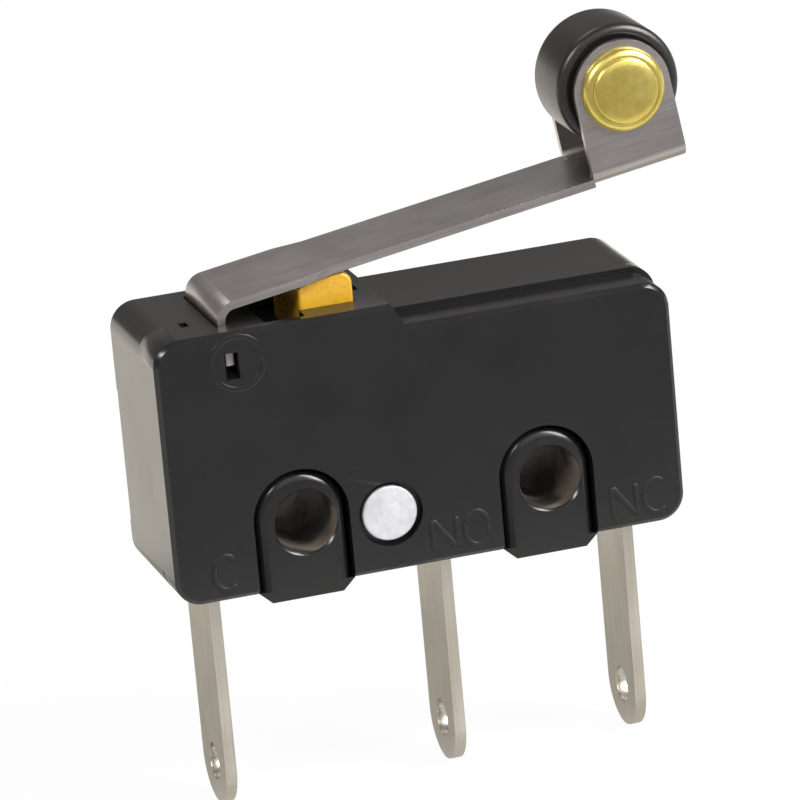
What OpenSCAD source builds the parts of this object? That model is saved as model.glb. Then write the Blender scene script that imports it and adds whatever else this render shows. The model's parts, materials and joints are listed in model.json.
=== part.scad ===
// Subminiature snap-action switch with a roller lever. Millimetres, +Z up.
// The origin is midway between the two mounting holes, at half the housing's depth.
// X runs along the housing, -Y faces the front cover and Z = 0 is the line of hole centres.

/* [Housing] */
// Length of the housing
body_l = 19.8; // [19.2:0.1:21]
// Depth of the housing from the front cover to the back
body_d = 6.4; // [6.2:0.1:7]
// Height of the housing from its underside to its high left top
body_h = 10.15; // [10.1:0.05:10.6]
// Height of the mounting holes above the underside
hole_h = 2.45; // [2.35:0.05:2.6]
// How far the right part of the top lies below the high left part
top_drop = 0.62; // [0.4:0.02:0.7]
// How far the cover's ledge lies below the right part of the top
ledge_drop = 0.24; // [0.1:0.02:0.4]
// Depth of the cover's ledge from the front face
ledge_d = 1.65; // [1.2:0.05:1.9]
// X of the top end of the slope between the high and the low top
step_x = -0.8; // [-1:0.05:-0.5]
// Length of that slope along X
step_run = 0.35; // [0.2:0.05:0.6]
// Depth of the front cover, up to the parting plane
cover_d = 2.25; // [2.1:0.05:2.5]
// Wall thickness of case and cover
wall = 0.8; // [0.7:0.05:0.9]
// Radius of the housing's four outer corners
corner_r = 1; // [0.5:0.1:1.4]
// Chamfer round the outer edges of front and back
edge_c = 0.16; // [0.05:0.01:0.25]
// Depth of the relief in the back face
relief_d = 0.25; // [0.1:0.05:0.35]

/* [Mounting holes] */
// Distance between the two mounting holes
hole_pitch = 9.5; // [9.4:0.05:9.7]
// Bore of the mounting holes
hole_d = 2.4; // [2.2:0.05:2.6]
// Half the width of the boss round each hole, and the radius of its arch
boss_r = 1.76; // [1.7:0.02:1.8]
// How far a boss's middle lies left of its hole
boss_shift = 0.17; // [0:0.01:0.2]
// Height of the arch's centre above the hole's centre
arch_up = 0.25; // [0:0.05:0.3]
// Gap between a boss and the cut-out in the cover
boss_gap = 0.08; // [0.06:0.01:0.12]
// How far a boss stays behind the cover's face
boss_recess = 0.1; // [0:0.05:0.3]
// Radius of the rounding round the front edge of a boss
boss_round = 0.5; // [0.2:0.02:0.52]
// Chamfer at both mouths of a mounting hole
mouth_c = 0.09; // [0.05:0.01:0.15]
// How far the feet stand below the underside
foot_h = 0.45; // [0.3:0.05:0.6]
// Width of a foot's flat
foot_flat = 2.74; // [2:0.02:3]
// Width of a foot where it leaves the underside
foot_w = 3.7; // [3.4:0.1:3.8]

/* [Case rivet] */
// X of the rivet
rivet_x = -1.52; // [-1.7:0.02:-1.4]
// Z of the rivet
rivet_z = -0.25; // [-0.4:0.05:0]
// Diameter of the rivet's shank
rivet_d = 1.4; // [1.2:0.05:1.5]
// Diameter of the rivet's head
rivet_head_d = 2.12; // [2:0.02:2.2]
// Thickness of each head
rivet_head_t = 0.3; // [0.2:0.05:0.4]
// Radial gap round a head in its counterbore
rivet_gap = 0.18; // [0.1:0.02:0.25]
// Wall round the counterbore, inside the housing
rivet_wall = 0.22; // [0.15:0.01:0.3]
// Depth by which a head stays below the face
rivet_sink = 0.05; // [0:0.05:0.1]

/* [Openings in the top] */
// Wall between the trough and the front and back faces
trough_wall = 0.5; // [0.4:0.05:0.7]
// Depth of the trough below the high top
trough_depth = 0.8; // [0.6:0.05:1]
// Width of the deeper well beside the plunger
well_w = 0.85; // [0.5:0.05:1]
// Gap round the lever's leg
leg_gap = 0.1; // [0.08:0.01:0.15]
// Room right of the leg, into which its top swings
leg_room = 0.35; // [0.3:0.05:0.5]
// Depth of the leg's pocket below the tabs
pocket_depth = 0.42; // [0.3:0.02:0.45]
// Width of the small slot right of the plunger
vent_w = 0.5; // [0.3:0.05:0.6]
// Length of that slot along the depth
vent_l = 1.1; // [0.6:0.1:1.6]
// Depth of that slot
vent_depth = 0.5; // [0.3:0.05:0.6]
// Width of the small notch at the parting plane
notch_w = 0.3; // [0.2:0.05:0.4]
// Length of that notch along the depth
notch_l = 0.6; // [0.4:0.1:1]
// Distance of that notch left of the lever's pivot
notch_off = 1.35; // [1.2:0.05:1.5]

/* [Back relief] */
// Depth of the relief's upper edge below the high top
relief_below_top = 3.35; // [3.2:0.05:3.5]
// Height of the relief's lower edge above the underside
relief_above_under = 1.7; // [1.6:0.05:1.8]

/* [Terminals] */
// Distance of the common terminal from the housing's left end
com_inset = 1.75; // [1.65:0.05:1.9]
// X of the normally open terminal
no_x = 0.85; // [0.8:0.05:1]
// Distance of the normally closed terminal from the housing's right end
nc_inset = 1.85; // [1.75:0.05:2]
// Width of a terminal
blade_w = 3.2; // [3:0.1:3.3]
// Thickness of a terminal
blade_t = 0.45; // [0.4:0.05:0.5]
// Distance from the underside to a terminal's tip
blade_out = 8.85; // [8:0.05:9.5]
// Hole near a terminal's tip
blade_hole_d = 1.4; // [1.2:0.1:1.6]
// Gap between a terminal and its slot
slot_gap = 0.03; // [0.02:0.01:0.06]

/* [Contacts] */
// Gap between the upper shelf and the ceiling
shelf_gap = 0.27; // [0.22:0.01:0.32]
// Distance of the contacts from the housing's right end
contact_inset = 3.7; // [3.5:0.1:3.9]
// Diameter of the contacts
contact_d = 1.5; // [1.2:0.1:1.8]
// Height of each contact
contact_h = 0.38; // [0.3:0.02:0.4]
// Diameter of a contact's shank
contact_shank_d = 0.8; // [0.6:0.05:1]
// Travel of the moving contact between the fixed ones
contact_gap = 0.6; // [0.5:0.05:0.65]
// Small gap left between contacts that touch
touch = 0.04; // [0.02:0.01:0.06]

/* [Contact arm] */
// Thickness of the contact arm
arm_t = 0.25; // [0.2:0.01:0.26]
// Width of the contact arm
arm_w = 3.2; // [3:0.1:3.4]
// Width of the window in the contact arm
window_w = 2; // [1.8:0.05:2.1]
// Width of the tongue that sits in the common terminal
tongue_w = 1.6; // [1.2:0.1:1.8]
// Height of the notches in the common terminal
notch_h = 0.42; // [0.4:0.02:0.5]
// Length of that tongue, measured from the terminal's centre
tongue_l = 1.2; // [1:0.1:1.4]
// Width of the bar between the tongue and the window
bar_l = 0.9; // [0.7:0.1:1]
// Radius by which the arm's round end passes the contact
arm_rim = 0.15; // [0.1:0.05:0.2]

/* [Trip lever] */
// Distance of the trip lever's seat below the contact arm
trip_drop = 0.735; // [0.73:0.005:0.75]
// Rise of the trip lever towards its tip, in degrees
trip_angle = 7.5; // [7.3:0.1:7.7]
// Distance of the trip lever's hooked tip right of the plunger's centre line
trip_tip_off = 2.65; // [2.4:0.05:2.7]
// Width of the trip lever
trip_w = 1.4; // [1.2:0.1:1.5]

/* [Spring] */
// Outside diameter of the coil spring
spring_d = 1; // [0.8:0.05:1.1]
// Wire of the coil spring
wire_d = 0.16; // [0.14:0.02:0.2]
// Distance of the spring's hook left of the contacts
hook_off = 2.3; // [2.1:0.05:2.4]

/* [Plunger] */
// X of the plunger's centre line
plunger_x = -2.85; // [-2.9:0.05:-2.8]
// Width of the plunger along X
plunger_w = 2.1; // [1.9:0.05:2.2]
// Depth of the plunger along Y
plunger_d = 3.7; // [3.4:0.1:3.8]
// Running gap round the plunger
plunger_gap = 0.05; // [0.03:0.01:0.08]
// Radius of the crowned top
crown_r = 6; // [5:0.5:7]
// Radius of the upper corner on the fork's side
plunger_corner_r = 0.45; // [0.3:0.05:0.5]
// Width of the flange beyond the plunger on each side
flange = 0.45; // [0.3:0.05:0.5]
// Thickness of the flange
flange_t = 0.5; // [0.4:0.05:0.55]
// Width of the stem along X
stem_w = 1; // [0.8:0.05:1.1]
// Depth of the stem along Y
stem_d = 1.3; // [1:0.05:1.4]

/* [Lever] */
// Thickness of the lever's steel strip
strip_t = 0.3; // [0.26:0.01:0.32]
// Width of the strip at its root
root_w = 4.4; // [4.2:0.05:4.5]
// Width of the strip along the arm
strip_w = 3.9; // [3.8:0.05:4]
// Distance from the pivot, along X, at which the root starts to narrow
root_l = 3.57; // [3.2:0.01:3.9]
// Length along X over which it narrows
taper_l = 1.1; // [0.8:0.1:1.3]
// Angle of the strip above the housing's top in the free position
lever_angle = 8.7; // [8.2:0.1:9.2]
// Distance of the lever's pivot from the housing's left end
pivot_inset = 2.93; // [2.9:0.01:3]
// Depth of the lever's pivot below the high top
pivot_drop = 1.08; // [1:0.01:1.15]
// Distance of the strip's upper face from the pivot
strip_off = 1.84; // [1.8:0.01:1.9]
// Height of the tabs that the lever turns on
tab_h = 0.5; // [0.4:0.05:0.55]
// Length of each tab beyond the leg's edge
tab_reach = 0.72; // [0.6:0.02:0.78]
// Radius of the bend at the root
bend_r = 0.45; // [0.35:0.05:0.6]
// Height of the slot in the cover for the tab
tab_slot_h = 1; // [0.9:0.05:1.1]
// Width of that slot
tab_slot_w = 0.52; // [0.48:0.02:0.6]

/* [Fork] */
// Distance from the pivot to the roller's axis along the strip
fork_reach = 17.06; // [16.9:0.02:17.2]
// Height of the roller's axis above the strip's upper face
axis_up = 3; // [2.95:0.01:3.1]
// Width of the fork's ears, with a round top about the roller's axis
ear_w = 3.72; // [3.5:0.02:3.9]
// Distance between the inner faces of the ears
ear_gap = 3.25; // [3.2:0.05:3.3]
// Inside radius of the folds under the ears
fold_r = 0.3; // [0.2:0.05:0.4]

/* [Roller] */
// Diameter of the roller
roller_d = 4.75; // [4.6:0.05:4.9]
// Width of the roller
roller_w = 3; // [2.8:0.05:3.1]
// Chamfer at the roller's edges
roller_c = 0.25; // [0.15:0.05:0.35]
// Diameter of the pin's shank
pin_d = 1.5; // [1.3:0.05:1.8]
// Radial running gap between pin and roller
pin_gap = 0.04; // [0.02:0.01:0.08]
// Diameter of the pin's head
pin_head_d = 3.2; // [2.8:0.05:3.4]
// Thickness of the pin's head
pin_head_t = 0.45; // [0.35:0.05:0.5]
// Diameter of the pin's closed end
pin_tail_d = 2.2; // [2:0.1:2.4]
// Thickness of the pin's closed end
pin_tail_t = 0.3; // [0.2:0.05:0.4]

/* [Hidden] */

eps = 0.01;
round_fn = 48;
half_l = body_l / 2;
half_d = body_d / 2;
front_y = -half_d;
back_y = half_d;
part_y = front_y + cover_d;
under_z = -hole_h;
high_z = under_z + body_h;
low_z = high_z - top_drop;
ledge_z = low_z - ledge_drop;
slope_x = step_x + step_run;
hole_x = hole_pitch / 2;
com_x = -half_l + com_inset;
nc_x = half_l - nc_inset;
contact_x = half_l - contact_inset;
hook_x = contact_x - hook_off;
trip_tip_x = plunger_x + trip_tip_off;
pivot_x = -half_l + pivot_inset;
pivot_z = high_z - pivot_drop;

// Bosses of the case and the cut-outs and collars of the cover round them
cut_r = boss_r + boss_gap;
boss_back_r = 1.65;
collar_wall = 0.45;
counterbore_r = rivet_head_d / 2 + rivet_gap;
counterbore_d = rivet_head_t + rivet_sink;
rivet_fit = 0.02;
pin_fit = 0.01;

// Inside of the housing: floor, ceiling over the mechanism, and its lower left part
floor_z = under_z + wall;
ceiling_z = low_z - wall;
roof_t = 0.55;
pocket_low_z = pivot_z - tab_h / 2 - pocket_depth;
left_ceiling_z = pocket_low_z - roof_t;
left_wall = 0.9;
left_ceiling_x = pivot_x + strip_t / 2 + leg_room + left_wall;

// Openings in the top
trough_floor_z = high_z - trough_depth;
well_roof_t = 0.35;
well_floor_z = ceiling_z + well_roof_t;
leg_left_x = pivot_x - strip_t / 2;
leg_right_x = pivot_x + strip_t / 2;
guide_left_x = plunger_x - plunger_w / 2 - plunger_gap;
guide_right_x = plunger_x + plunger_w / 2 + plunger_gap;
tab_play = 0.05;
tab_slot_top_z = pivot_z + tab_h / 2 + tab_play;

// Terminals
tip_z = under_z - blade_out;
tip_r = blade_w / 2;
tip_centre_z = tip_z + tip_r;

// Contacts and arms, one below another
nc_shelf_z = ceiling_z - shelf_gap - blade_t;
nc_contact_z = nc_shelf_z - contact_h;
arm_bottom_z = nc_contact_z - touch - contact_h - arm_t;
arm_z = arm_bottom_z + arm_t / 2;
no_contact_z = arm_bottom_z - contact_h - contact_gap;
no_top_z = no_contact_z - contact_h;
no_shelf_z = no_top_z - blade_t;
shelf_rim = 0.3;
no_shelf_end_x = contact_x + contact_d / 2 + shelf_rim;
nc_shelf_end_x = contact_x - contact_d / 2 - shelf_rim;
shank_fit = 0.01;
seat_x = com_x - blade_t / 2;
tongue_end_x = com_x + tongue_l;
window_x = tongue_end_x + bar_l;
window_play = 0.1;
window_end_x = hook_x + window_play;

// Trip lever and spring
trip_z = arm_z - trip_drop;
trip_length = (trip_tip_x - com_x) / cos(trip_angle);
hook_gap = 0.12;
spring_x = trip_tip_x + hook_gap;
spring_z = trip_z + (trip_tip_x - com_x) * tan(trip_angle);
spring_end_x = hook_x - hook_gap;

// Plunger: its crown lies along the lever's strip, and its stem on the trip lever
crown_contact_z = strip_under(plunger_x) - touch;
crown_x = plunger_x + crown_r * sin(lever_angle);
crown_z = crown_contact_z - crown_r * cos(lever_angle);
plunger_right_x = plunger_x + plunger_w / 2;
corner_x = plunger_right_x - plunger_corner_r;
corner_z = crown_z + sqrt(pow(crown_r, 2) - pow(corner_x - crown_x, 2)) - plunger_corner_r;
flange_top_z = ceiling_z - touch;
flange_z = flange_top_z - flange_t;
stem_z = trip_top(plunger_x + stem_w / 2) + touch;

// Lever: the strip's own axes start at the pivot and are tilted by lever_angle
under_off = strip_off - strip_t;
axis_off = strip_off + axis_up;
ear_left = fork_reach - ear_w / 2;
ear_right = fork_reach + ear_w / 2;
ear_out = ear_gap / 2 + strip_t;
fold_out = fold_r + strip_t;
bend_x = leg_right_x + bend_r;
bend_z = strip_under(bend_x) - bend_r / cos(lever_angle);

// Z of the strip's underside at a given X, in the free position
function strip_under(x) = pivot_z
    + (strip_off - strip_t) / cos(lever_angle)
    + (x - pivot_x) * tan(lever_angle);

// Z of the trip lever's upper face at a given X, in the free position
function trip_top(x) = trip_z
    + arm_t / 2 / cos(trip_angle)
    + (x - com_x) * tan(trip_angle);

// Plate in the XZ plane with four rounded corners, from y0 to y1
module plate(x0, x1, z0, z1, y0, y1, r) {
    translate([0, y1, 0])
        rotate([90, 0, 0])
            linear_extrude(y1 - y0) {
                translate([x0 + r, z0])
                    square([x1 - x0 - 2 * r, z1 - z0]);
                translate([x0, z0 + r])
                    square([x1 - x0, z1 - z0 - 2 * r]);
                for (cx = [x0 + r, x1 - r], cz = [z0 + r, z1 - r])
                    translate([cx, cz])
                        circle(r, $fn = round_fn);
            }
}

// Box between two opposite corners
module box(a, b) {
    translate(a)
        cube(b - a);
}

// Outline in the XZ plane, extruded from y0 to y1
module xz_extrude(y0, y1) {
    translate([0, y1, 0])
        rotate([90, 0, 0])
            linear_extrude(y1 - y0)
                children();
}

// Round bar along Y, from y0 to y1
module y_bar(x, z, r, y0, y1) {
    translate([x, y1, z])
        rotate([90, 0, 0])
            cylinder(h = y1 - y0, r = r, $fn = round_fn);
}

// Cone along Y, with radius r0 at y0 and r1 at y1
module y_cone(x, z, r0, r1, y0, y1) {
    translate([x, y0, z])
        rotate([-90, 0, 0])
            cylinder(h = y1 - y0, r1 = r0, r2 = r1, $fn = round_fn);
}

// Arched block that stands on z0, round a mounting hole
module arch(x, r, z0, y0, y1) {
    y_bar(x, arch_up, r, y0, y1);
    box([x - r, y0, z0], [x + r, y1, arch_up]);
}

// Rounded block whose outer edges are chamfered at y_face
module chamfered_plate(x0, x1, z1, y_face, y_in) {
    inward = sign(y_in - y_face);
    y_side = y_face + inward * edge_c;
    hull() {
        plate(x0 + edge_c, x1 - edge_c, under_z + edge_c, z1 - edge_c,
            min(y_face, y_in), max(y_face, y_in), corner_r - edge_c);
        plate(x0, x1, under_z, z1, min(y_side, y_in), max(y_side, y_in), corner_r);
    }
}

// Everything right of the sloping end of the high top, above a height z
module beyond_slope(z) {
    far = 2 * body_l;
    xz_extrude(-body_d, body_d)
        polygon([
            [step_x, high_z + eps],
            [slope_x + (low_z - z) * step_run / top_drop, z],
            [far, z],
            [far, high_z + eps]
        ]);
}

// Slot through the underside for one terminal
module blade_slot(x) {
    box([x - blade_t / 2 - slot_gap, -blade_w / 2 - slot_gap, under_z - foot_h - eps],
        [x + blade_t / 2 + slot_gap, blade_w / 2 + slot_gap, floor_z + eps]);
}

// Hollow for the mechanism, from y0 to y1
module mechanism_space(y0, y1) {
    inner = half_l - wall;
    box([-inner, y0, floor_z], [inner, y1, left_ceiling_z]);
    box([left_ceiling_x, y0, floor_z], [inner, y1, ceiling_z]);
}

// Openings in the top: the leg's pocket, the trough, the well and the plunger's guide
module top_openings() {
    trough_y = half_d - trough_wall;
    leg_y = root_w / 2 + leg_gap;
    guide_y = plunger_d / 2 + plunger_gap;
    well_x = guide_left_x - well_w;
    box([leg_left_x - leg_gap, -leg_y, pocket_low_z],
        [leg_right_x + leg_room, leg_y, high_z + eps]);
    box([leg_right_x, -trough_y, trough_floor_z], [well_x + eps, trough_y, high_z + eps]);
    box([well_x, -trough_y, well_floor_z], [guide_left_x + eps, trough_y, high_z + eps]);
    box([guide_left_x, -guide_y, ceiling_z - eps], [guide_right_x, guide_y, high_z + eps]);
    box([guide_right_x - eps, -vent_l / 2, high_z - vent_depth],
        [guide_right_x + vent_w, vent_l / 2, high_z + eps]);
}

// Slots in which the lever's tabs turn, from y0 to y1
module tab_slot(y0, y1) {
    box([pivot_x - tab_slot_w / 2, y0, tab_slot_top_z - tab_slot_h],
        [pivot_x + tab_slot_w / 2, y1, tab_slot_top_z]);
}

// Counterbore and bore for the case rivet
module rivet_space() {
    back_seat_y = back_y - relief_d - counterbore_d;
    y_bar(rivet_x, rivet_z, rivet_d / 2, front_y - eps, back_y + eps);
    y_bar(rivet_x, rivet_z, counterbore_r, front_y - eps, front_y + counterbore_d);
    y_bar(rivet_x, rivet_z, counterbore_r, back_seat_y, back_y + eps);
}

// Boss with foot, from the back face to just behind the cover's face
module mounting_boss(hole) {
    x = hole - boss_shift;
    face_y = front_y + boss_recess;
    steps = 6;
    rim = [
        for (k = [0:steps])
            [boss_r - boss_round * (1 - sin(90 * k / steps)),
                face_y + boss_round * (1 - cos(90 * k / steps))]
    ];
    arch(x, boss_r, under_z, face_y + boss_round - eps, back_y - relief_d);
    translate([x, 0, arch_up])
        rotate([-90, 0, 0])
            rotate_extrude($fn = round_fn)
                polygon(concat([[0, face_y]], rim, [[0, face_y + boss_round]]));
    translate([x, 0, under_z])
        linear_extrude(arch_up - under_z)
            polygon(concat(rim, [for (k = [steps:-1:0]) [-rim[k][0], rim[k][1]]]));
    xz_extrude(face_y + eps, back_y)
        polygon([
            [x - foot_w / 2, under_z],
            [x - foot_flat / 2, under_z - foot_h],
            [x + foot_flat / 2, under_z - foot_h],
            [x + foot_w / 2, under_z]
        ]);
}

module mounting_bore(x) {
    mouth_r = hole_d / 2 + mouth_c;
    face_y = front_y + boss_recess;
    y_bar(x, 0, hole_d / 2, front_y - eps, back_y + eps);
    y_cone(x, 0, mouth_r, hole_d / 2, face_y, face_y + mouth_c);
    y_cone(x, 0, hole_d / 2, mouth_r, back_y - mouth_c, back_y);
}

module rear_case() {
    relief_top = high_z - relief_below_top;
    relief_bottom = under_z + relief_above_under;
    color([0.16, 0.15, 0.14])
        difference() {
            union() {
                difference() {
                    union() {
                        chamfered_plate(-half_l, half_l, low_z, back_y, part_y);
                        difference() {
                            chamfered_plate(-half_l, half_l, high_z, back_y, part_y);
                            beyond_slope(low_z - corner_r);
                        }
                    }
                    mechanism_space(part_y - eps, back_y - wall);
                }
                for (x = [-hole_x, hole_x])
                    mounting_boss(x);
                y_bar(rivet_x, rivet_z, counterbore_r + rivet_wall, part_y, back_y - wall + eps);
            }
            difference() {
                box([-half_l - eps, back_y - relief_d, relief_bottom],
                    [half_l + eps, back_y + eps, relief_top]);
                for (x = [-hole_x, hole_x])
                    y_bar(x, 0, boss_back_r, back_y - wall, back_y + 2 * eps);
            }
            for (x = [-hole_x, hole_x])
                mounting_bore(x);
            rivet_space();
            for (x = [com_x, no_x, nc_x])
                blade_slot(x);
            top_openings();
            tab_slot(0, root_w / 2 + tab_reach);
        }
}

module front_cover() {
    collar_y = front_y + wall - eps;
    notch_x = pivot_x - notch_off;
    notch_depth = 0.15;
    color([0.17, 0.16, 0.16])
        difference() {
            union() {
                difference() {
                    union() {
                        chamfered_plate(-half_l, half_l, ledge_z, front_y, part_y);
                        plate(-half_l, half_l, under_z, low_z,
                            front_y + ledge_d, part_y, corner_r);
                        difference() {
                            chamfered_plate(-half_l, half_l, high_z, front_y, part_y);
                            beyond_slope(ledge_z - corner_r);
                        }
                    }
                    mechanism_space(front_y + wall, part_y + eps);
                }
                for (x = [-hole_x, hole_x])
                    arch(x - boss_shift, cut_r + collar_wall, under_z + edge_c, collar_y, part_y);
                y_bar(rivet_x, rivet_z, counterbore_r + rivet_wall, collar_y, part_y);
            }
            for (x = [-hole_x, hole_x])
                arch(x - boss_shift, cut_r, under_z - foot_h, front_y - eps, part_y + eps);
            rivet_space();
            for (x = [com_x, no_x, nc_x])
                blade_slot(x);
            top_openings();
            tab_slot(front_y - eps, 0);
            box([notch_x, part_y - notch_l, high_z - notch_depth],
                [notch_x + notch_w, part_y + eps, high_z + eps]);
        }
}

module case_rivet() {
    r = rivet_d / 2 - rivet_fit;
    head_r = rivet_head_d / 2;
    dome = 0.1;
    front = front_y + rivet_sink;
    back = back_y - relief_d - rivet_sink;
    color([0.8, 0.8, 0.81]) {
        y_bar(rivet_x, rivet_z, r, front + rivet_head_t - eps, back - rivet_head_t + eps);
        y_bar(rivet_x, rivet_z, head_r, front + dome, front + rivet_head_t);
        y_cone(rivet_x, rivet_z, head_r - dome, head_r, front, front + dome);
        y_bar(rivet_x, rivet_z, head_r, back - rivet_head_t, back - dome);
        y_cone(rivet_x, rivet_z, head_r, head_r - dome, back - dome, back);
    }
}

// Flat blade in the YZ plane with a round tip and a hole, up to z_top
module blade(x, z_top) {
    translate([x - blade_t / 2, 0, 0])
        rotate([90, 0, 90])
            linear_extrude(blade_t)
                difference() {
                    union() {
                        translate([-blade_w / 2, tip_centre_z])
                            square([blade_w, z_top - tip_centre_z]);
                        translate([0, tip_centre_z])
                            circle(tip_r, $fn = round_fn);
                    }
                    translate([0, tip_centre_z])
                        circle(d = blade_hole_d, $fn = round_fn);
                }
}

// Notch through a terminal in which an arm's tongue is seated
module seat_notch(z, w) {
    box([com_x - blade_t, -w / 2 - slot_gap, z - notch_h / 2],
        [com_x + blade_t, w / 2 + slot_gap, z + notch_h / 2]);
}

module common_terminal() {
    color([0.78, 0.76, 0.7])
        difference() {
            blade(com_x, arm_z + notch_h);
            seat_notch(arm_z, tongue_w);
            seat_notch(trip_z, trip_w);
        }
}

module normally_open_terminal() {
    color([0.78, 0.76, 0.7]) {
        blade(no_x, no_top_z);
        difference() {
            box([no_x, -blade_w / 2, no_shelf_z], [no_shelf_end_x, blade_w / 2, no_top_z]);
            translate([contact_x, 0, no_shelf_z - eps])
                cylinder(h = blade_t + 2 * eps, d = contact_shank_d, $fn = round_fn);
        }
    }
}

module normally_closed_terminal() {
    color([0.78, 0.76, 0.7]) {
        blade(nc_x, nc_shelf_z + blade_t);
        difference() {
            box([nc_shelf_end_x, -blade_w / 2, nc_shelf_z],
                [nc_x, blade_w / 2, nc_shelf_z + blade_t]);
            translate([contact_x, 0, nc_shelf_z - eps])
                cylinder(h = blade_t + 2 * eps, d = contact_shank_d, $fn = round_fn);
        }
    }
}

// Contact rivet with its head above z and its shank below it
module contact(z, shank_l, up) {
    translate([contact_x, 0, z])
        rotate([up ? 0 : 180, 0, 0]) {
            cylinder(h = contact_h, d = contact_d, $fn = round_fn);
            translate([0, 0, -shank_l])
                cylinder(h = shank_l + eps, r = contact_shank_d / 2 - shank_fit, $fn = round_fn);
        }
}

module normally_open_contact() {
    color([0.85, 0.84, 0.8])
        contact(no_top_z, blade_t, true);
}

module normally_closed_contact() {
    color([0.85, 0.84, 0.8])
        contact(nc_shelf_z, blade_t, false);
}

module moving_contact() {
    color([0.85, 0.84, 0.8])
        translate([contact_x, 0, arm_bottom_z]) {
            translate([0, 0, -contact_h])
                cylinder(h = contact_h, d = contact_d, $fn = round_fn);
            translate([0, 0, -eps])
                cylinder(h = arm_t + 2 * eps, r = contact_shank_d / 2 - shank_fit, $fn = round_fn);
            translate([0, 0, arm_t])
                cylinder(h = contact_h, d = contact_d, $fn = round_fn);
        }
}

module contact_arm() {
    color([0.72, 0.53, 0.3])
        translate([0, 0, arm_bottom_z])
            linear_extrude(arm_t)
                difference() {
                    union() {
                        translate([seat_x, -tongue_w / 2])
                            square([tongue_end_x - seat_x + eps, tongue_w]);
                        translate([tongue_end_x, -arm_w / 2])
                            square([contact_x - tongue_end_x, arm_w]);
                        translate([contact_x, 0])
                            circle(contact_d / 2 + arm_rim, $fn = round_fn);
                    }
                    translate([window_x, -window_w / 2])
                        square([window_end_x - window_x, window_w]);
                    translate([contact_x, 0])
                        circle(d = contact_shank_d, $fn = round_fn);
                }
}

module trip_lever() {
    color([0.72, 0.53, 0.3])
        translate([com_x, 0, trip_z])
            rotate([0, -trip_angle, 0])
                box([-blade_t / 2, -trip_w / 2, -arm_t / 2], [trip_length, trip_w / 2, arm_t / 2]);
}

// Envelope of the coil spring, from the trip lever's tip to the contact arm
module snap_spring() {
    run = spring_end_x - spring_x;
    tilt = atan((arm_z - spring_z) / run);
    length = run / cos(tilt);
    loop = spring_d / 2;
    color([0.7, 0.71, 0.72])
        translate([spring_x, 0, spring_z])
            rotate([0, 90 - tilt, 0]) {
                translate([0, 0, loop])
                    cylinder(h = length - 2 * loop, d = spring_d, $fn = 24);
                cylinder(h = length, r = wire_d, $fn = 24);
            }
}

module plunger() {
    left_x = plunger_x - plunger_w / 2;
    color([0.8, 0.55, 0.12]) {
        xz_extrude(-plunger_d / 2, plunger_d / 2)
            intersection() {
                union() {
                    translate([left_x, flange_z])
                        square([corner_x - left_x, high_z]);
                    translate([left_x, flange_z])
                        square([plunger_w, corner_z - flange_z]);
                    translate([corner_x, corner_z])
                        circle(plunger_corner_r, $fn = round_fn);
                }
                translate([crown_x, crown_z])
                    circle(crown_r, $fn = 2 * round_fn);
            }
        box([left_x - flange, -window_w / 2, flange_z],
            [plunger_right_x + flange, window_w / 2, flange_top_z]);
        box([plunger_x - stem_w / 2, -stem_d / 2, stem_z],
            [plunger_x + stem_w / 2, stem_d / 2, flange_top_z]);
    }
}

// Places its children in the strip's axes: X along the strip, Z away from the pivot
module on_strip() {
    translate([pivot_x, 0, pivot_z])
        rotate([0, -lever_angle, 0])
            children();
}

// Upright leg with its two tabs, and the bend into the strip
module lever_root() {
    half_w = root_w / 2;
    box([leg_left_x, -half_w, pivot_z - tab_h / 2], [leg_right_x, half_w, bend_z]);
    box([leg_left_x, -half_w - tab_reach, pivot_z - tab_h / 2],
        [leg_right_x, half_w + tab_reach, pivot_z + tab_h / 2]);
    translate([bend_x, half_w, bend_z])
        rotate([90, 0, 0])
            rotate([0, 0, 90 + lever_angle])
                rotate_extrude(angle = 90 - lever_angle, $fn = round_fn)
                    translate([bend_r, 0])
                        square([strip_t, root_w]);
}

// Strip in its own axes, wide at the root and narrower along the arm
module lever_strip() {
    start = (bend_x - pivot_x) * cos(lever_angle) + (bend_z - pivot_z) * sin(lever_angle);
    root_end = root_l / cos(lever_angle);
    arm_start = (root_l + taper_l) / cos(lever_angle);
    fold_y = ear_out - fold_out;
    translate([0, 0, under_off])
        linear_extrude(strip_t)
            for (side = [-1, 1])
                polygon([
                    [start, 0],
                    [start, side * root_w / 2],
                    [root_end, side * root_w / 2],
                    [arm_start, side * strip_w / 2],
                    [ear_left, side * strip_w / 2],
                    [ear_left, side * fold_y],
                    [ear_right, side * fold_y],
                    [ear_right, 0]
                ]);
}

module lever() {
    color([0.62, 0.61, 0.59]) {
        lever_root();
        on_strip() {
            lever_strip();
            fork_ear();
            mirror([0, 1, 0])
                fork_ear();
        }
    }
}

// Ear of the fork on the +Y side, with its fold
module fork_ear() {
    inner = ear_gap / 2;
    fold_z = under_off + fold_out;
    translate([ear_left, ear_out - fold_out, fold_z])
        rotate([90, 0, 90])
            rotate([0, 0, -90])
                rotate_extrude(angle = 90, $fn = round_fn)
                    translate([fold_r, 0])
                        square([strip_t, ear_w]);
    difference() {
        union() {
            box([ear_left, inner, fold_z], [ear_right, ear_out, axis_off]);
            y_bar(fork_reach, axis_off, ear_w / 2, inner, ear_out);
        }
        y_bar(fork_reach, axis_off, pin_d / 2, inner - eps, ear_out + eps);
    }
}

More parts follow.
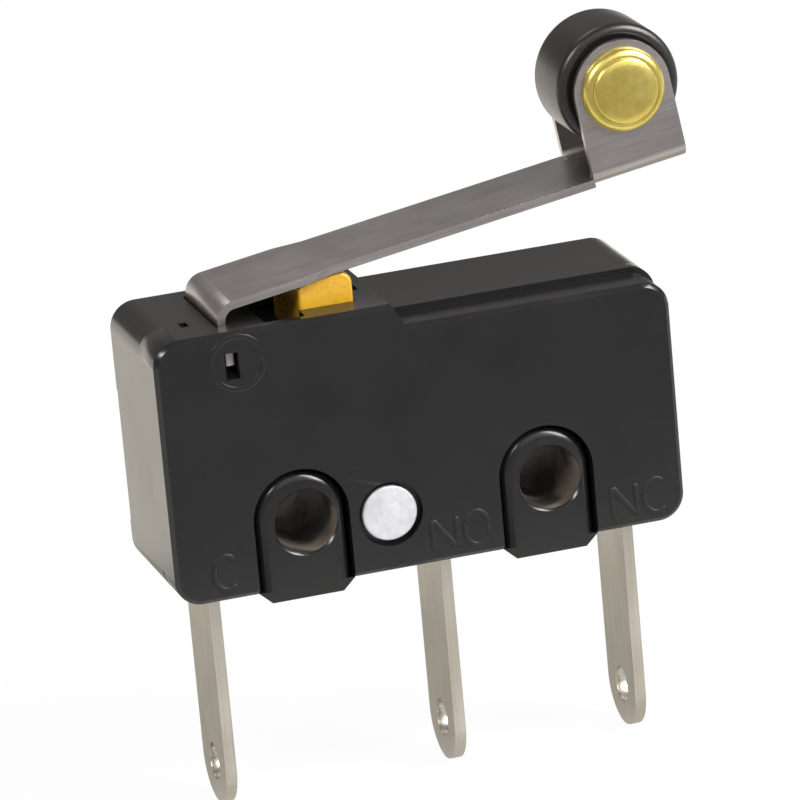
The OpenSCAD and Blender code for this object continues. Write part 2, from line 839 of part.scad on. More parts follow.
// Headed pin, riveted over at its far end
module roller_pin() {
    edge = 0.15;
    head_r = pin_head_d / 2;
    head_y = -ear_out - pin_head_t;
    color([0.72, 0.64, 0.32])
        on_strip() {
            y_bar(fork_reach, axis_off, pin_d / 2 - pin_fit, -ear_out - eps, ear_out + eps);
            y_bar(fork_reach, axis_off, head_r, head_y + edge, -ear_out);
            y_cone(fork_reach, axis_off, head_r - edge, head_r, head_y, head_y + edge);
            y_bar(fork_reach, axis_off, pin_tail_d / 2, ear_out, ear_out + pin_tail_t);
        }
}

module roller() {
    r = roller_d / 2;
    half_w = roller_w / 2;
    side_y = half_w - roller_c;
    color([0.2, 0.19, 0.18])
        on_strip()
            difference() {
                union() {
                    y_bar(fork_reach, axis_off, r, -side_y, side_y);
                    y_cone(fork_reach, axis_off, r - roller_c, r, -half_w, -side_y);
                    y_cone(fork_reach, axis_off, r, r - roller_c, side_y, half_w);
                }
                y_bar(fork_reach, axis_off, pin_d / 2 + pin_gap, -roller_w, roller_w);
            }
}

rear_case();
front_cover();
case_rivet();
common_terminal();
normally_open_terminal();
normally_closed_terminal();
normally_open_contact();
normally_closed_contact();
contact_arm();
moving_contact();
trip_lever();
snap_spring();
plunger();
lever();
roller_pin();
roller();
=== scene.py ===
"""Looks of a subminiature snap-action switch with a roller lever.

Every length in this file is given in millimetres and turned to metres where a mesh or a lamp is made.
"""

import json
import logging
import math
from dataclasses import dataclass, field
from enum import Enum
from typing import Any, Sequence

import bmesh
import bpy
import numpy as np
from mathutils import Matrix, Vector

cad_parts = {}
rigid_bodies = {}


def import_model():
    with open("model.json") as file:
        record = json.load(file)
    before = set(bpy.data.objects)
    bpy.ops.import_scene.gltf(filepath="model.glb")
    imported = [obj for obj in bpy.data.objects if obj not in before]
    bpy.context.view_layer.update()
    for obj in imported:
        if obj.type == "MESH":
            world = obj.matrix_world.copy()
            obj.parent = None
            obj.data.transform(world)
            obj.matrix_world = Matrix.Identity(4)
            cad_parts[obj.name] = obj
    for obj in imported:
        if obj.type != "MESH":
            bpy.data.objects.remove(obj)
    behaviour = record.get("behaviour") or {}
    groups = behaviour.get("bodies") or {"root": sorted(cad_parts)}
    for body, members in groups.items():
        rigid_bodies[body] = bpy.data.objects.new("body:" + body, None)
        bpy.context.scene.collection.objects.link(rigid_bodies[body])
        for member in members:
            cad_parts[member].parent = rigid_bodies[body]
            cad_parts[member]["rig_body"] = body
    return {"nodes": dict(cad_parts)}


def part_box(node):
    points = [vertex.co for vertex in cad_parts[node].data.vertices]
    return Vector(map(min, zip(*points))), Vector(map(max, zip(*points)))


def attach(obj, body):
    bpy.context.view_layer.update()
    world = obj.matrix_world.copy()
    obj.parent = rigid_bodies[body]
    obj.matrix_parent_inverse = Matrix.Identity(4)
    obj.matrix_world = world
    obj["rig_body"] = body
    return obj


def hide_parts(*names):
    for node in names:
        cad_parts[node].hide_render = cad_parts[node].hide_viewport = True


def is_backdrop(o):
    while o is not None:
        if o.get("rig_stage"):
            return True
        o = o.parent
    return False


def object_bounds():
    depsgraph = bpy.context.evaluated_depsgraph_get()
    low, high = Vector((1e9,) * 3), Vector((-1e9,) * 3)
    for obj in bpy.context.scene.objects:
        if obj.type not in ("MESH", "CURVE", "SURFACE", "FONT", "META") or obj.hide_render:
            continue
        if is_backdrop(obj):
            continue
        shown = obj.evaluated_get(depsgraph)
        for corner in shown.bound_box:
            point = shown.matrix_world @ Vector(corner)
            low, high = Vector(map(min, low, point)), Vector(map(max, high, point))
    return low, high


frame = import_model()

MM = 0.001
LOG = logging.getLogger("switch")
Point = tuple[float, float, float]


def srgb(code: str) -> tuple[float, float, float, float]:
    """Turns an sRGB hex colour into the linear colour that a shader takes.

    Args:
        code: six hex digits after a hash sign.

    Returns:
        Red, green, blue and an alpha of one.
    """
    parts = [int(code[i : i + 2], 16) / 255 for i in (1, 3, 5)]
    linear = [p / 12.92 if p <= 0.04045 else ((p + 0.055) / 1.055) ** 2.4 for p in parts]
    return (linear[0], linear[1], linear[2], 1.0)


def add(
    tree: bpy.types.NodeTree,
    kind: str,
    settings: dict[str, Any] | None = None,
    links: dict[Any, bpy.types.NodeSocket] | None = None,
) -> bpy.types.Node:
    """Adds one node with its settings and incoming links.

    Args:
        tree: the node tree of a material or of the world.
        kind: the node's Blender type.
        settings: attributes by name, or input values where the name starts with "=".
        links: sockets that feed the node, by input name or number.

    Returns:
        The new node.
    """
    node = tree.nodes.new(kind)
    for name, value in (settings or {}).items():
        if name.startswith("="):
            key = name[1:]
            node.inputs[int(key) if key.isdigit() else key].default_value = value
        else:
            setattr(node, name, value)
    for name, socket in (links or {}).items():
        tree.links.new(socket, node.inputs[name])
    return node


def ramp(
    tree: bpy.types.NodeTree, factor: bpy.types.NodeSocket, stops: Sequence[tuple[float, Any]]
) -> bpy.types.NodeSocket:
    """Adds a colour ramp with the given stops.

    Args:
        tree: the node tree.
        factor: the socket that drives the ramp.
        stops: position and linear colour of each stop, in rising order.

    Returns:
        The ramp's colour output.
    """
    node = add(tree, "ShaderNodeValToRGB", links={"Fac": factor})
    elements = node.color_ramp.elements
    while len(elements) < len(stops):
        elements.new(0.5)
    for element, (position, colour) in zip(elements, stops):
        element.position = position
        element.color = colour
    return node.outputs["Color"]


class Axis(Enum):
    """Direction in which a pattern is drawn out."""

    X = (0.02, 1.0, 1.0)
    Z = (1.0, 1.0, 0.02)
    NONE = (1.0, 1.0, 1.0)


@dataclass(frozen=True)
class Finish:
    """A finish: its record slot, typical shader values and its own surface pattern."""

    slot: str
    name: str
    colour: str
    light_colour: str
    metallic: float = 0.0
    roughness: float = 0.4
    ior: float = 1.5
    grain_mm: float = 0.1
    grain_height_mm: float = 0.002
    cloud_mm: float = 4.0
    rough_spread: float = 0.08
    drawn: Axis = Axis.NONE
    turn_deg: float = 0.0
    subsurface: float = 0.0

    def make(self) -> bpy.types.Material:
        """Builds the material: clouded colour, uneven roughness and a fine grain as bump.

        Returns:
            The finished material.
        """
        material = bpy.data.materials.new(self.name)
        material.use_nodes = True
        tree = material.node_tree
        tree.nodes.clear()
        place = add(tree, "ShaderNodeTexCoord").outputs["Object"]
        turned = add(
            tree,
            "ShaderNodeMapping",
            {"=Rotation": (0.0, math.radians(self.turn_deg), 0.0)},
            {"Vector": place},
        ).outputs["Vector"]
        drawn = add(
            tree, "ShaderNodeMapping", {"=Scale": self.drawn.value}, {"Vector": turned}
        ).outputs["Vector"]
        grain = add(
            tree,
            "ShaderNodeTexNoise",
            {"=Scale": 1 / (self.grain_mm * MM), "=Detail": 3.0, "=Roughness": 0.6},
            {"Vector": drawn},
        ).outputs["Fac"]
        cloud = add(
            tree,
            "ShaderNodeTexNoise",
            {"=Scale": 1 / (self.cloud_mm * MM), "=Detail": 4.0, "=Roughness": 0.55},
            {"Vector": place},
        ).outputs["Fac"]
        mixed = self.blend(tree, cloud, grain)
        shader = add(
            tree,
            "ShaderNodeBsdfPrincipled",
            {
                "=Metallic": self.metallic,
                "=IOR": self.ior,
                "=Subsurface Weight": self.subsurface,
            },
        )
        shader.inputs["Subsurface Scale"].default_value = 0.4 * MM
        tree.links.new(self.tint(tree, mixed, place), shader.inputs["Base Color"])
        rough = add(
            tree,
            "ShaderNodeMapRange",
            {
                "clamp": False,
                "=From Min": 0.3,
                "=From Max": 0.7,
                "=To Min": max(self.roughness - self.rough_spread, 0.02),
                "=To Max": self.roughness + self.rough_spread,
            },
            {"Value": mixed},
        ).outputs["Result"]
        tree.links.new(rough, shader.inputs["Roughness"])
        bump = add(
            tree,
            "ShaderNodeBump",
            {"=Strength": 0.6, "=Distance": self.grain_height_mm * MM},
            {"Height": self.relief(tree, grain, place)},
        ).outputs["Normal"]
        tree.links.new(bump, shader.inputs["Normal"])
        add(tree, "ShaderNodeOutputMaterial", links={"Surface": shader.outputs["BSDF"]})
        return material

    def blend(
        self, tree: bpy.types.NodeTree, cloud: bpy.types.NodeSocket, grain: bpy.types.NodeSocket
    ) -> bpy.types.NodeSocket:
        """Mean of cloud and grain, which colour and roughness both follow."""
        both = add(tree, "ShaderNodeMath", {"operation": "ADD"}, {0: cloud, 1: grain})
        half = {"operation": "MULTIPLY", "=1": 0.5}
        return add(tree, "ShaderNodeMath", half, {0: both.outputs[0]}).outputs[0]

    def tint(
        self, tree: bpy.types.NodeTree, mixed: bpy.types.NodeSocket, place: bpy.types.NodeSocket
    ) -> bpy.types.NodeSocket:
        """Colour between the two tones of the finish."""
        return ramp(tree, mixed, [(0.35, srgb(self.colour)), (0.65, srgb(self.light_colour))])

    def relief(
        self, tree: bpy.types.NodeTree, grain: bpy.types.NodeSocket, place: bpy.types.NodeSocket
    ) -> bpy.types.NodeSocket:
        """Height that the bump follows: the plain grain."""
        return grain


@dataclass(frozen=True)
class Turned(Finish):
    """A finish with the fine rings of turning about an axis along Y."""

    centre: Point = (0.0, 0.0, 0.0)
    ring_mm: float = 0.12

    def relief(
        self, tree: bpy.types.NodeTree, grain: bpy.types.NodeSocket, place: bpy.types.NodeSocket
    ) -> bpy.types.NodeSocket:
        """Height of the rings: a sine of the distance from the axis, broken up by the grain."""
        moved = add(
            tree,
            "ShaderNodeMapping",
            {"=Location": tuple(-c * MM for c in self.centre), "=Scale": (1.0, 0.0, 1.0)},
            {"Vector": place},
        ).outputs["Vector"]
        radius = add(tree, "ShaderNodeVectorMath", {"operation": "LENGTH"}, {0: moved}).outputs["Value"]
        phase = add(
            tree,
            "ShaderNodeMath",
            {"operation": "MULTIPLY", "=1": 2 * math.pi / (self.ring_mm * MM)},
            {0: radius},
        ).outputs[0]
        wave = add(tree, "ShaderNodeMath", {"operation": "SINE"}, {0: phase}).outputs[0]
        return add(
            tree, "ShaderNodeMath", {"operation": "MULTIPLY_ADD", "=1": 0.3}, {0: wave, 2: grain}
        ).outputs[0]


@dataclass(frozen=True)
class Bored(Finish):
    """A moulded finish whose two bores along Y are rough, with lighter and darker patches painted in as
    reflected light.
    """

    hole_x: float = 4.75
    hole_r: float = 1.21
    patch_mm: float = 1.5
    bore_lift: float = 2.0

    def inside(self, tree: bpy.types.NodeTree, place: bpy.types.NodeSocket) -> bpy.types.NodeSocket:
        """One within the bores and nought elsewhere, from the distance to the nearer bore's axis."""
        folded = add(tree, "ShaderNodeVectorMath", {"operation": "ABSOLUTE"}, {0: place}).outputs[0]
        moved = add(
            tree,
            "ShaderNodeMapping",
            {"=Location": (-self.hole_x * MM, 0.0, 0.0), "=Scale": (1.0, 0.0, 1.0)},
            {"Vector": folded},
        ).outputs["Vector"]
        away = add(tree, "ShaderNodeVectorMath", {"operation": "LENGTH"}, {0: moved}).outputs["Value"]
        limit = {"operation": "LESS_THAN", "=1": self.hole_r * MM}
        return add(tree, "ShaderNodeMath", limit, {0: away}).outputs[0]

    def tint(
        self, tree: bpy.types.NodeTree, mixed: bpy.types.NodeSocket, place: bpy.types.NodeSocket
    ) -> bpy.types.NodeSocket:
        """Two close tones outside, and in the bores soft-edged lighter and darker patches, a painted
        reflection of the light beyond the bores.
        """
        patch = add(
            tree,
            "ShaderNodeTexNoise",
            {"=Scale": 1 / (self.patch_mm * MM), "=Detail": 1.0},
            {"Vector": place},
        ).outputs["Fac"]
        # Painted reflection: these lighter and darker patches stand in for light reflected on the bore
        # walls.
        bore_painted_reflection = ramp(tree, patch, [(0.44, srgb("#211e1a")), (0.56, srgb("#5f564b"))])
        plain = Finish.tint(self, tree, mixed, place)
        return add(
            tree, "ShaderNodeMix", {"data_type": "RGBA"}, {0: self.inside(tree, place), 6: plain, 7: bore_painted_reflection}
        ).outputs[2]

    def blend(
        self, tree: bpy.types.NodeTree, cloud: bpy.types.NodeSocket, grain: bpy.types.NodeSocket
    ) -> bpy.types.NodeSocket:
        """Mean of cloud and grain outside, and far past it in the bores, which makes them rough."""
        place = add(tree, "ShaderNodeTexCoord").outputs["Object"]
        plain = Finish.blend(self, tree, cloud, grain)
        lifted = {"operation": "MULTIPLY_ADD", "=1": self.bore_lift}
        return add(tree, "ShaderNodeMath", lifted, {0: self.inside(tree, place), 2: plain}).outputs[0]


# Glass-filled thermoplastic, moulded: nearly black, satin, with a fine even grain.
MOULDED_BLACK = Bored(
    "black_thermoplastic", "pbt_moulded_black", "#131212", "#191818",
    roughness=0.22, ior=1.5, grain_mm=0.09, grain_height_mm=0.002, cloud_mm=3.5, rough_spread=0.05,
)
# The same plastic on the raised letters, rougher, with a deeper black that is painted shade, as of strokes
# sunk into the face.
MARK_PAINTED_SHADE = Finish(
    "black_thermoplastic", "pbt_mark_painted_shade", "#070606", "#0b0a0a",
    roughness=0.5, ior=1.5, grain_mm=0.09, grain_height_mm=0.002, cloud_mm=3.5, rough_spread=0.05,
)
# Polyetherimide, moulded: clear amber that looks deeper where it is thick.
AMBER = Finish(
    "amber_plastic", "pei_moulded_amber", "#b98816", "#c99c22",
    roughness=0.28, ior=1.6, grain_mm=0.15, grain_height_mm=0.001, cloud_mm=2.6,
    rough_spread=0.05, subsurface=0.1,
)
# Stainless strip, cold rolled: soft grey lustre with fine lines along the strip.
ROLLED_STEEL = Finish(
    "spring_steel_strip", "stainless_rolled_strip", "#aaa4a1", "#beb9b6",
    metallic=1.0, roughness=0.36, grain_mm=0.08, grain_height_mm=0.0012, cloud_mm=2.5,
    rough_spread=0.06, drawn=Axis.X, turn_deg=8.7,
)
# Steel rivet, nickel plated: bright and frosty from the riveting tool.
NICKEL = Finish(
    "nickel_rivet", "steel_nickel_plated", "#bcbcc0", "#d4d4d8",
    metallic=0.55, roughness=0.5, grain_mm=0.16, grain_height_mm=0.008, cloud_mm=0.7, rough_spread=0.1,
)
# Brass blade, tin plated: dull and slightly warm, with fine lines from rolling.
PLATED = Finish(
    "plated_terminal", "brass_tin_plated", "#b5aea2", "#cfcac0",
    metallic=1.0, roughness=0.34, grain_mm=0.1, grain_height_mm=0.002, cloud_mm=2.2,
    rough_spread=0.07, drawn=Axis.Z,
)
# Beryllium copper strip: warm and springy, rolled.
COPPER = Finish(
    "copper_alloy_strip", "copper_alloy_rolled", "#c08a58", "#d6a271",
    metallic=1.0, roughness=0.3, grain_mm=0.08, grain_height_mm=0.001, cloud_mm=2.0, drawn=Axis.X,
)
# Silver alloy contact: headed, whitish and slightly dull.
SILVER = Finish(
    "silver_contact", "silver_alloy_headed", "#cfcdc6", "#e4e2dc",
    metallic=1.0, roughness=0.32, grain_mm=0.1, grain_height_mm=0.001, cloud_mm=0.8,
)
# Drawn spring wire: bright grey.
WIRE = Finish(
    "spring_wire", "steel_drawn_wire", "#9a9a9c", "#b4b4b6",
    metallic=1.0, roughness=0.25, grain_mm=0.05, grain_height_mm=0.001, cloud_mm=0.8,
)


def mid(node: str) -> Vector:
    """Middle of a node's box at rest, in millimetres."""
    low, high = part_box(node)
    return (low + high) / 2 / MM


def new_object(name: str, points: np.ndarray, faces: Sequence[Sequence[int]]) -> bpy.types.Object:
    """Makes a mesh object with outward, smooth faces.

    Args:
        name: the piece's name.
        points: an array of points in millimetres.
        faces: corner numbers of each face.

    Returns:
        The new object, in the scene.
    """
    mesh = bpy.data.meshes.new(name)
    mesh.from_pydata((points * MM).tolist(), [], faces)
    work = bmesh.new()
    work.from_mesh(mesh)
    bmesh.ops.remove_doubles(work, verts=work.verts, dist=1e-4 * MM)
    bmesh.ops.recalc_face_normals(work, faces=work.faces)
    work.to_mesh(mesh)
    work.free()
    mesh.shade_smooth()
    obj = bpy.data.objects.new(name, mesh)
    bpy.context.scene.collection.objects.link(obj)
    return obj


def grid_faces(rows: int, columns: int, wrap_rows: bool, wrap_columns: bool) -> np.ndarray:
    """Corner numbers of a grid of quads, row by row.

    Args:
        rows: number of rows of points.
        columns: number of points in a row.
        wrap_rows: whether the last row joins the first.
        wrap_columns: whether the last point of a row joins the first.

    Returns:
        An array with four corners per face.
    """
    r = np.arange(rows if wrap_rows else rows - 1)[:, None]
    c = np.arange(columns if wrap_columns else columns - 1)[None, :]
    r2 = (r + 1) % rows
    c2 = (c + 1) % columns
    corners = [r * columns + c, r * columns + c2, r2 * columns + c2, r2 * columns + c]
    return np.stack([np.broadcast_to(k, (r.size, c.size)).ravel() for k in corners], axis=1)


def lathe(name: str, profile: np.ndarray, centre: Vector, steps: int = 128) -> bpy.types.Object:
    """Turns a closed profile about an axis along Y.

    The point at angle t on the profile's point (r, y) is (r cos t, y, r sin t), moved to the centre.

    Args:
        name: the piece's name.
        profile: rows of radius and Y in millimetres, along a closed line or from axis to axis.
        centre: a point on the axis, in millimetres.
        steps: number of steps round the axis.

    Returns:
        The turned piece.
    """
    angle = np.linspace(0, 2 * np.pi, steps, endpoint=False)[:, None]
    radius, along = profile[None, :, 0], profile[None, :, 1]
    x = centre.x + radius * np.cos(angle)
    z = centre.z + radius * np.sin(angle)
    y = centre.y + np.broadcast_to(along, x.shape)
    points = np.stack([x, y, z], axis=-1).reshape(-1, 3)
    closed = bool(profile[0, 0] > 0)
    faces = grid_faces(steps, profile.shape[0], True, closed)
    return new_object(name, points, faces.tolist())


def tube(name: str, path: np.ndarray, radius: float, sides: int = 12) -> bpy.types.Object:
    """Carries a circle along a path and closes both ends with small domes.

    The circle at each path point lies in the plane of the two directions square to the path, taken from
    a fixed reference direction, and its radius shrinks at the ends as a quarter circle does.

    Args:
        name: the piece's name.
        path: an array of points in millimetres.
        radius: the tube's radius in millimetres.
        sides: number of points round the circle.

    Returns:
        The tube.
    """
    steps = np.linalg.norm(np.diff(path, axis=0), axis=1)
    along = np.concatenate([[0], np.cumsum(steps)])
    near = np.clip(np.minimum(along, along[-1] - along) / radius, 0, 1)
    shrink = np.sqrt(1 - (1 - near) ** 2)
    tangent = np.gradient(path, axis=0)
    tangent /= np.linalg.norm(tangent, axis=1)[:, None]
    side = np.cross(tangent, np.array([0.03, 1.0, 0.02]))
    side /= np.linalg.norm(side, axis=1)[:, None]
    up = np.cross(side, tangent)
    turn = np.linspace(0, 2 * np.pi, sides, endpoint=False)
    ring = side[:, None, :] * np.cos(turn)[None, :, None] + up[:, None, :] * np.sin(turn)[None, :, None]
    points = path[:, None, :] + ring * (radius * shrink)[:, None, None]
    faces = grid_faces(len(path), sides, False, True)
    return new_object(name, points.reshape(-1, 3), faces.tolist())


def dress(piece: bpy.types.Object, finish: Finish, made: dict[str, bpy.types.Material]) -> None:
    """Gives a piece its finish, made once and kept in a table by name."""
    if finish.name not in made:
        made[finish.name] = finish.make()
    piece.data.materials.clear()
    piece.data.materials.append(made[finish.name])


def softened(node: str, width: float, segments: int = 2, angle: float = 28.0) -> bpy.types.Object:
    """Copies a CAD node and rounds its sharp edges.

    Args:
        node: name of the CAD node that the copy stands for.
        width: width of the rounding in millimetres.
        segments: number of strips in the rounding.
        angle: smallest angle in degrees between two faces that is rounded.

    Returns:
        The rounded piece, riding on the node's body.
    """
    source = frame["nodes"][node]
    mesh = source.data.copy()
    mesh.name = node + "_shown"
    work = bmesh.new()
    work.from_mesh(mesh)
    bmesh.ops.remove_doubles(work, verts=work.verts, dist=2e-4 * MM)
    bmesh.ops.dissolve_limit(
        work, angle_limit=math.radians(1.0), verts=work.verts, edges=work.edges, delimit={"NORMAL"}
    )
    work.to_mesh(mesh)
    work.free()
    piece = bpy.data.objects.new(node + "_shown", mesh)
    bpy.context.scene.collection.objects.link(piece)
    bevel = piece.modifiers.new("rounded_edges", "BEVEL")
    bevel.width = width * MM
    bevel.segments = segments
    bevel.limit_method = "ANGLE"
    bevel.angle_limit = math.radians(angle)
    bevel.miter_outer = "MITER_ARC"
    bevel.use_clamp_overlap = True
    bevel.harden_normals = False
    mesh.shade_smooth()
    smooth = piece.modifiers.new("flat_faces", "WEIGHTED_NORMAL")
    smooth.keep_sharp = False
    smooth.weight = 60
    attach(piece, source["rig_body"])
    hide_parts(node)
    return piece


@dataclass
class Housing:
    """Case, cover and rivet, with the letter marks moulded on the cover."""

    edge: float = 0.07
    head_crown: float = 0.05
    stroke: float = 0.22
    letter_w: float = 0.95
    letter_h: float = 1.3
    letter_gap: float = 0.3
    foot_height: float = 0.42
    common_shift: float = -0.28
    open_place: float = 9.9
    closed_place: float = 16.95
    ring_shift: tuple[float, float] = (0.35, 0.14)
    boss_ring: float = 1.0
    ring_height: float = 0.02
    made: dict[str, bpy.types.Material] = field(default_factory=dict)

    def build(self) -> None:
        """Builds the housing's shown pieces."""
        for node in ("rear_case", "front_cover"):
            piece = softened(node, self.edge)
            dress(piece, MOULDED_BLACK, self.made)
            LOG.info("%s rounded", node)
        self.rivet()
        self.marks()

    def rivet(self) -> None:
        """Turns the rivet: a shank between two heads with slightly crowned faces."""
        low, high = (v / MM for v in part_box("case_rivet"))
        centre = (low + high) / 2
        r_head = (high.x - low.x) / 2
        half = (high.y - low.y) / 2
        thick, round_r, shank_share = 0.3, 0.09, 0.64
        shank = r_head * shank_share
        turn = np.linspace(0, np.pi / 2, 6)
        face_r = np.linspace(0, r_head - round_r, 8)
        crown = -half + self.head_crown * (face_r / (r_head - round_r)) ** 2
        front = np.stack([face_r, crown], axis=1)
        edge_y = crown[-1] + round_r
        edge = np.stack(
            [r_head - round_r + round_r * np.sin(turn), edge_y - round_r * np.cos(turn)], axis=1
        )
        inner = np.array([[r_head, -half + thick], [shank, -half + thick]])
        one = np.concatenate([front, edge, inner])
        other = one[::-1] * np.array([1, -1])
        piece = lathe("case_rivet_shown", np.concatenate([one, other]), centre)
        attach(piece, "housing")
        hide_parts("case_rivet")
        dress(piece, NICKEL, self.made)
        LOG.info("case rivet turned")

    def marks(self) -> None:
        """Writes C, NO and NC as low rounded ridges beside the terminals they name."""
        low, _ = (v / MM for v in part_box("front_cover"))
        base_z = low.z + self.foot_height
        words = {
            "common": ("C", mid("common_terminal").x + self.common_shift),
            "normally_open": ("NO", low.x + self.open_place),
            "normally_closed": ("NC", low.x + self.closed_place),
        }
        for name, (word, x) in words.items():
            ridges = []
            for k, letter in enumerate(word):
                ridges += self.strokes(letter, x + k * (self.letter_w + self.letter_gap), base_z)
            piece = self.ridge(name + "_mark", ridges, low.y)
            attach(piece, "housing")
            # The letters take a darker black that is painted shade.
            dress(piece, MARK_PAINTED_SHADE, self.made)
        turn = np.linspace(0, 2 * np.pi, 64)
        low_lever, _ = (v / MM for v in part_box("lever"))
        centre = np.array([low_lever.x + self.ring_shift[0], low_lever.z + self.ring_shift[1]])
        ring = centre + self.boss_ring * np.stack([np.cos(turn), np.sin(turn)], axis=1)
        piece = self.ridge("pivot_ring", [ring], low.y, self.ring_height)
        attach(piece, "housing")
        dress(piece, MOULDED_BLACK, self.made)
        LOG.info("marks and pivot ring made")

    def strokes(self, letter: str, x: float, z: float) -> list[np.ndarray]:
        """Centre lines of one letter, as rows of X and Z.

        Args:
            letter: C, N or O.
            x: left edge of the letter.
            z: foot of the letter.

        Returns:
            One array per stroke.
        """
        w, h = self.letter_w, self.letter_h
        if letter == "N":
            corners = [((0, 0), (0, 1)), ((0, 1), (1, 0)), ((1, 0), (1, 1))]
            lines = [np.linspace(a, b, 12) for a, b in corners]
            return [line * np.array([w, h]) + np.array([x, z]) for line in lines]
        start, end = (0.25 * np.pi, 1.75 * np.pi) if letter == "C" else (0.0, 2 * np.pi)
        t = np.linspace(start, end, 40)
        return [np.stack([x + w / 2 * (1 + np.cos(t)), z + h / 2 * (1 + np.sin(t))], axis=1)]

    def ridge(
        self, name: str, lines: list[np.ndarray], face_y: float, height: float = 0.035
    ) -> bpy.types.Object:
        """Carries a low half-ellipse along each centre line.

        Across the line at distance u the ridge stands as high as the mark's height times the root of
        one minus the square of u over half the stroke; it shrinks to a point at both ends.

        Args:
            name: the piece's name.
            lines: centre lines, as rows of X and Z.
            face_y: Y of the face that the ridge stands on.
            height: how far the ridge stands out, in millimetres.

        Returns:
            All ridges as one piece.
        """
        points: list[np.ndarray] = []
        faces: list[list[int]] = []
        turn = np.linspace(0, 2 * np.pi, 10, endpoint=False)
        for line in lines:
            tangent = np.gradient(line, axis=0)
            tangent /= np.linalg.norm(tangent, axis=1)[:, None]
            normal = np.stack([-tangent[:, 1], tangent[:, 0]], axis=1)
            t = np.linspace(0, 1, len(line))
            shrink = np.sqrt(np.clip(1 - (2 * t - 1) ** 16, 0, 1))[:, None]
            across = np.cos(turn)[None, :] * self.stroke / 2 * shrink
            proud = np.sin(turn)[None, :] * height * shrink
            x = line[:, :1] + normal[:, :1] * across
            z = line[:, 1:] + normal[:, 1:] * across
            grid = np.stack([x, face_y - proud, z], axis=-1).reshape(-1, 3)
            offset = sum(len(p) for p in points)
            faces += (grid_faces(len(line), len(turn), False, True) + offset).tolist()
            points.append(grid)
        return new_object(name, np.concatenate(points), faces)


@dataclass
class Contacts:
    """Terminals, contacts, arms and the coil spring."""

    edge: float = 0.05
    wire_r: float = 0.08
    coil_r: float = 0.42
    turns: float = 13.0
    coil_points: int = 900
    hook_share: float = 0.1
    made: dict[str, bpy.types.Material] = field(default_factory=dict)

    def build(self) -> None:
        """Dresses the terminals and the mechanism, and winds the spring."""
        finishes = {
            "common_terminal": PLATED,
            "normally_open_terminal": PLATED,
            "normally_closed_terminal": PLATED,
            "normally_open_contact": SILVER,
            "normally_closed_contact": SILVER,
            "moving_contact": SILVER,
            "contact_arm": COPPER,
            "trip_lever": COPPER,
        }
        for node, finish in finishes.items():
            piece = softened(node, self.edge if finish is PLATED else self.edge / 2)
            dress(piece, finish, self.made)
        LOG.info("terminals, contacts and arms dressed")
        self.spring()

    def spring(self) -> None:
        """Winds the coil spring between the trip lever's tip and the contact arm.

        The coil turns evenly about the line between its two ends, and its radius grows from the hook at
        one end and falls to the hook at the other.
        """
        low, high = (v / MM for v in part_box("snap_spring"))
        loop = self.coil_r + self.wire_r
        start = np.array([low.x + self.wire_r, 0.0, high.z - loop])
        end = np.array([high.x - self.wire_r, 0.0, low.z + loop])
        t = np.linspace(0, 1, self.coil_points)
        swell = np.clip(np.minimum(t, 1 - t) / self.hook_share, 0, 1)
        radius = self.coil_r * np.sin(swell * np.pi / 2)
        angle = 2 * np.pi * self.turns * t
        line = start[None, :] + (end - start)[None, :] * t[:, None]
        unit = (end - start) / np.linalg.norm(end - start)
        lift = np.cross(unit, [0.0, 1.0, 0.0])
        path = (
            line
            + radius[:, None] * np.cos(angle)[:, None] * np.array([[0.0, 1.0, 0.0]])
            + radius[:, None] * np.sin(angle)[:, None] * lift[None, :]
        )
        piece = tube("snap_spring_shown", path, self.wire_r, 10)
        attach(piece, "coil_spring")
        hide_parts("snap_spring")
        dress(piece, WIRE, self.made)
        LOG.info("spring wound")


